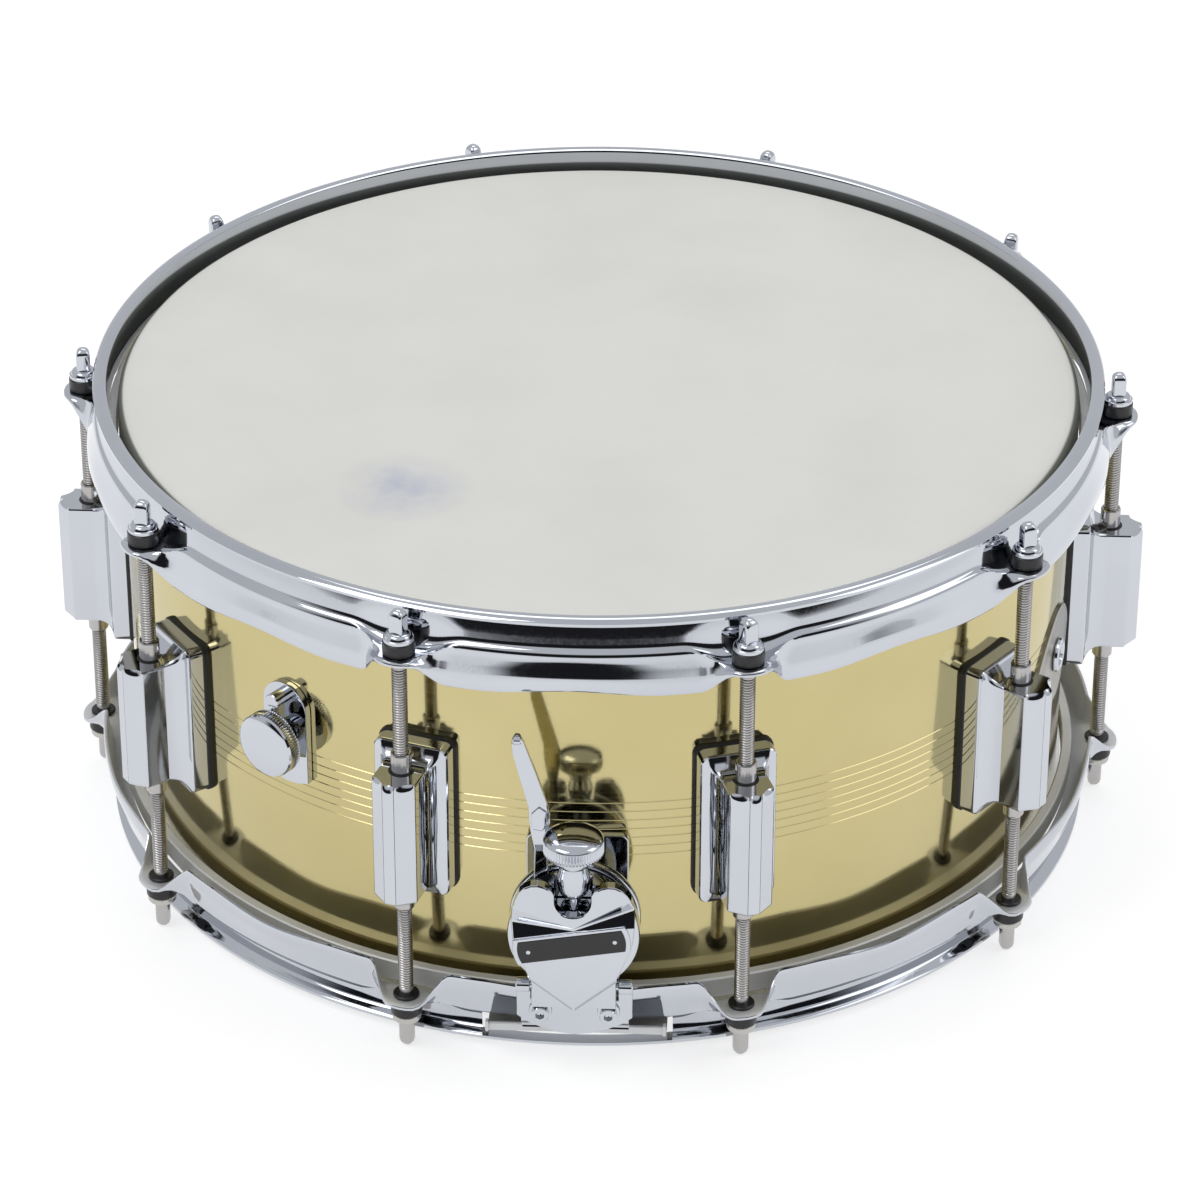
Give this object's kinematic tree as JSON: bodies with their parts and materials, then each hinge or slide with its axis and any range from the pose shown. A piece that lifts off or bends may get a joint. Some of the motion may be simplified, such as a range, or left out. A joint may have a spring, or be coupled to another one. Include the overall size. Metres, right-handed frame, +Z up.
{
  "type": "snare drum",
  "caption": "Metal-shell snare drum with turned hoops, double-ended lugs, tuning rods, a side throw-off with tension knob, snare wires and an internal muffler.",
  "frame": {"origin": "on the drum's axis, at the centre of the batter head's playing surface", "axes": "+Z up out of the batter head, -Y towards the strainer (player's side), +X to the right seen from the strainer"},
  "size_m": [0.4108, 0.4246, 0.1812],
  "materials": {
    "brass_shell": "polished, finely brushed around",
    "chrome": "mirror chrome plate",
    "steel": "nickel-plated steel",
    "aluminium": "brushed around",
    "coated_film": "white coated film",
    "clear_film": "thin clear film",
    "black_enamel": "black enamel",
    "felt": "pressed wool felt",
    "badge_metal": "grey satin"
  },
  "bodies": {
    "drum": {"shell": "brass_shell", "batter_head": "coated_film", "snare_head": "clear_film", "batter_flesh_hoop": "aluminium", "snare_flesh_hoop": "aluminium", "batter_hoop": "chrome", "snare_hoop": "chrome", "lug_1": "chrome", "lug_2": "chrome", "lug_3": "chrome", "lug_4": "chrome", "lug_5": "chrome", "lug_6": "chrome", "lug_7": "chrome", "lug_8": "chrome", "lug_9": "chrome", "lug_10": "chrome", "strainer_bracket": "chrome", "strainer_body": "chrome", "strainer_face": "chrome", "strainer_band": "black_enamel", "butt_block": "chrome", "butt_plate": "chrome", "butt_screw_1": "steel", "butt_screw_2": "steel", "muffler_plate": "chrome", "vent_badge": "badge_metal", "vent_grommet": "chrome"},
    "throw_off_lever": {"strainer_lever": "chrome"},
    "strainer_knob": {"strainer_knob": "chrome"},
    "strainer_carriage": {"strainer_carriage": "steel"},
    "snares": {"snare_wires": "steel", "snare_strap": "steel", "snare_rear_strap": "steel", "snare_clamp_plate": "chrome", "snare_clamp_screw_1": "steel", "snare_clamp_screw_2": "steel"},
    "muffler_knob": {"muffler_knob": "chrome"},
    "muffler_arm": {"muffler_arm": "steel", "muffler_pad": "felt"},
    "batter_rod_1": {"batter_rod_1": "steel"},
    "batter_rod_2": {"batter_rod_2": "steel"},
    "batter_rod_3": {"batter_rod_3": "steel"},
    "batter_rod_4": {"batter_rod_4": "steel"},
    "batter_rod_5": {"batter_rod_5": "steel"},
    "batter_rod_6": {"batter_rod_6": "steel"},
    "batter_rod_7": {"batter_rod_7": "steel"},
    "batter_rod_8": {"batter_rod_8": "steel"},
    "batter_rod_9": {"batter_rod_9": "steel"},
    "batter_rod_10": {"batter_rod_10": "steel"},
    "snare_rod_1": {"snare_rod_1": "steel"},
    "snare_rod_2": {"snare_rod_2": "steel"},
    "snare_rod_3": {"snare_rod_3": "steel"},
    "snare_rod_4": {"snare_rod_4": "steel"},
    "snare_rod_5": {"snare_rod_5": "steel"},
    "snare_rod_6": {"snare_rod_6": "steel"},
    "snare_rod_7": {"snare_rod_7": "steel"},
    "snare_rod_8": {"snare_rod_8": "steel"},
    "snare_rod_9": {"snare_rod_9": "steel"},
    "snare_rod_10": {"snare_rod_10": "steel"}
  },
  "joints": [
    {"name": "throw_off", "type": "hinge", "parent": "drum", "child": "throw_off_lever", "pos_m": [0.0013, -0.2, -0.1078], "axis": [0, -1, 0], "range_deg": [0, 90]},
    {"name": "carriage_drop", "type": "slide", "parent": "drum", "child": "strainer_carriage", "axis": [0, 0, -1], "range_m": [0, 0.0024]},
    {"name": "snare_drop", "type": "hinge", "parent": "drum", "child": "snares", "pos_m": [0, 0.1996, -0.1328], "axis": [1, 0, 0], "range_deg": [0, 0.341]},
    {"name": "snare_tension", "type": "hinge", "parent": "drum", "child": "strainer_knob", "pos_m": [0.0013, -0.2076, -0.07], "axis": [0, 0, 1], "continuous": true},
    {"name": "muffler_turn", "type": "hinge", "parent": "drum", "child": "muffler_knob", "pos_m": [-0.10401, -0.14691, -0.0678], "axis": [0.5779, 0.8161, 0], "range_deg": [0, 180]},
    {"name": "muffler_lift", "type": "slide", "parent": "drum", "child": "muffler_arm", "axis": [0, 0, 1], "range_m": [0, 0.0056]},
    {"name": "batter_tuning_1", "type": "hinge", "parent": "drum", "child": "batter_rod_1", "pos_m": [0.05964, -0.18355, -0.02], "axis": [0, 0, 1], "continuous": true},
    {"name": "batter_tuning_2", "type": "hinge", "parent": "drum", "child": "batter_rod_2", "pos_m": [0.15614, -0.11344, -0.02], "axis": [0, 0, 1], "continuous": true},
    {"name": "batter_tuning_3", "type": "hinge", "parent": "drum", "child": "batter_rod_3", "pos_m": [0.193, 0, -0.02], "axis": [0, 0, 1], "continuous": true},
    {"name": "batter_tuning_4", "type": "hinge", "parent": "drum", "child": "batter_rod_4", "pos_m": [0.15614, 0.11344, -0.02], "axis": [0, 0, 1], "continuous": true},
    {"name": "batter_tuning_5", "type": "hinge", "parent": "drum", "child": "batter_rod_5", "pos_m": [0.05964, 0.18355, -0.02], "axis": [0, 0, 1], "continuous": true},
    {"name": "batter_tuning_6", "type": "hinge", "parent": "drum", "child": "batter_rod_6", "pos_m": [-0.05964, 0.18355, -0.02], "axis": [0, 0, 1], "continuous": true},
    {"name": "batter_tuning_7", "type": "hinge", "parent": "drum", "child": "batter_rod_7", "pos_m": [-0.15614, 0.11344, -0.02], "axis": [0, 0, 1], "continuous": true},
    {"name": "batter_tuning_8", "type": "hinge", "parent": "drum", "child": "batter_rod_8", "pos_m": [-0.193, 0, -0.02], "axis": [0, 0, 1], "continuous": true},
    {"name": "batter_tuning_9", "type": "hinge", "parent": "drum", "child": "batter_rod_9", "pos_m": [-0.15614, -0.11344, -0.02], "axis": [0, 0, 1], "continuous": true},
    {"name": "batter_tuning_10", "type": "hinge", "parent": "drum", "child": "batter_rod_10", "pos_m": [-0.05964, -0.18355, -0.02], "axis": [0, 0, 1], "continuous": true},
    {"name": "snare_tuning_1", "type": "hinge", "parent": "drum", "child": "snare_rod_1", "pos_m": [0.05964, -0.18355, -0.145], "axis": [0, 0, 1], "continuous": true},
    {"name": "snare_tuning_2", "type": "hinge", "parent": "drum", "child": "snare_rod_2", "pos_m": [0.15614, -0.11344, -0.145], "axis": [0, 0, 1], "continuous": true},
    {"name": "snare_tuning_3", "type": "hinge", "parent": "drum", "child": "snare_rod_3", "pos_m": [0.193, 0, -0.145], "axis": [0, 0, 1], "continuous": true},
    {"name": "snare_tuning_4", "type": "hinge", "parent": "drum", "child": "snare_rod_4", "pos_m": [0.15614, 0.11344, -0.145], "axis": [0, 0, 1], "continuous": true},
    {"name": "snare_tuning_5", "type": "hinge", "parent": "drum", "child": "snare_rod_5", "pos_m": [0.05964, 0.18355, -0.145], "axis": [0, 0, 1], "continuous": true},
    {"name": "snare_tuning_6", "type": "hinge", "parent": "drum", "child": "snare_rod_6", "pos_m": [-0.05964, 0.18355, -0.145], "axis": [0, 0, 1], "continuous": true},
    {"name": "snare_tuning_7", "type": "hinge", "parent": "drum", "child": "snare_rod_7", "pos_m": [-0.15614, 0.11344, -0.145], "axis": [0, 0, 1], "continuous": true},
    {"name": "snare_tuning_8", "type": "hinge", "parent": "drum", "child": "snare_rod_8", "pos_m": [-0.193, 0, -0.145], "axis": [0, 0, 1], "continuous": true},
    {"name": "snare_tuning_9", "type": "hinge", "parent": "drum", "child": "snare_rod_9", "pos_m": [-0.15614, -0.11344, -0.145], "axis": [0, 0, 1], "continuous": true},
    {"name": "snare_tuning_10", "type": "hinge", "parent": "drum", "child": "snare_rod_10", "pos_m": [-0.05964, -0.18355, -0.145], "axis": [0, 0, 1], "continuous": true}
  ],
  "couplings": [
    {"joint": "carriage_drop", "follows": "throw_off", "m_per_rad": 0.0015275},
    {"joint": "snare_drop", "follows": "throw_off", "ratio": 0.003778},
    {"joint": "muffler_lift", "follows": "muffler_turn", "m_per_rad": 0.00178}
  ]
}
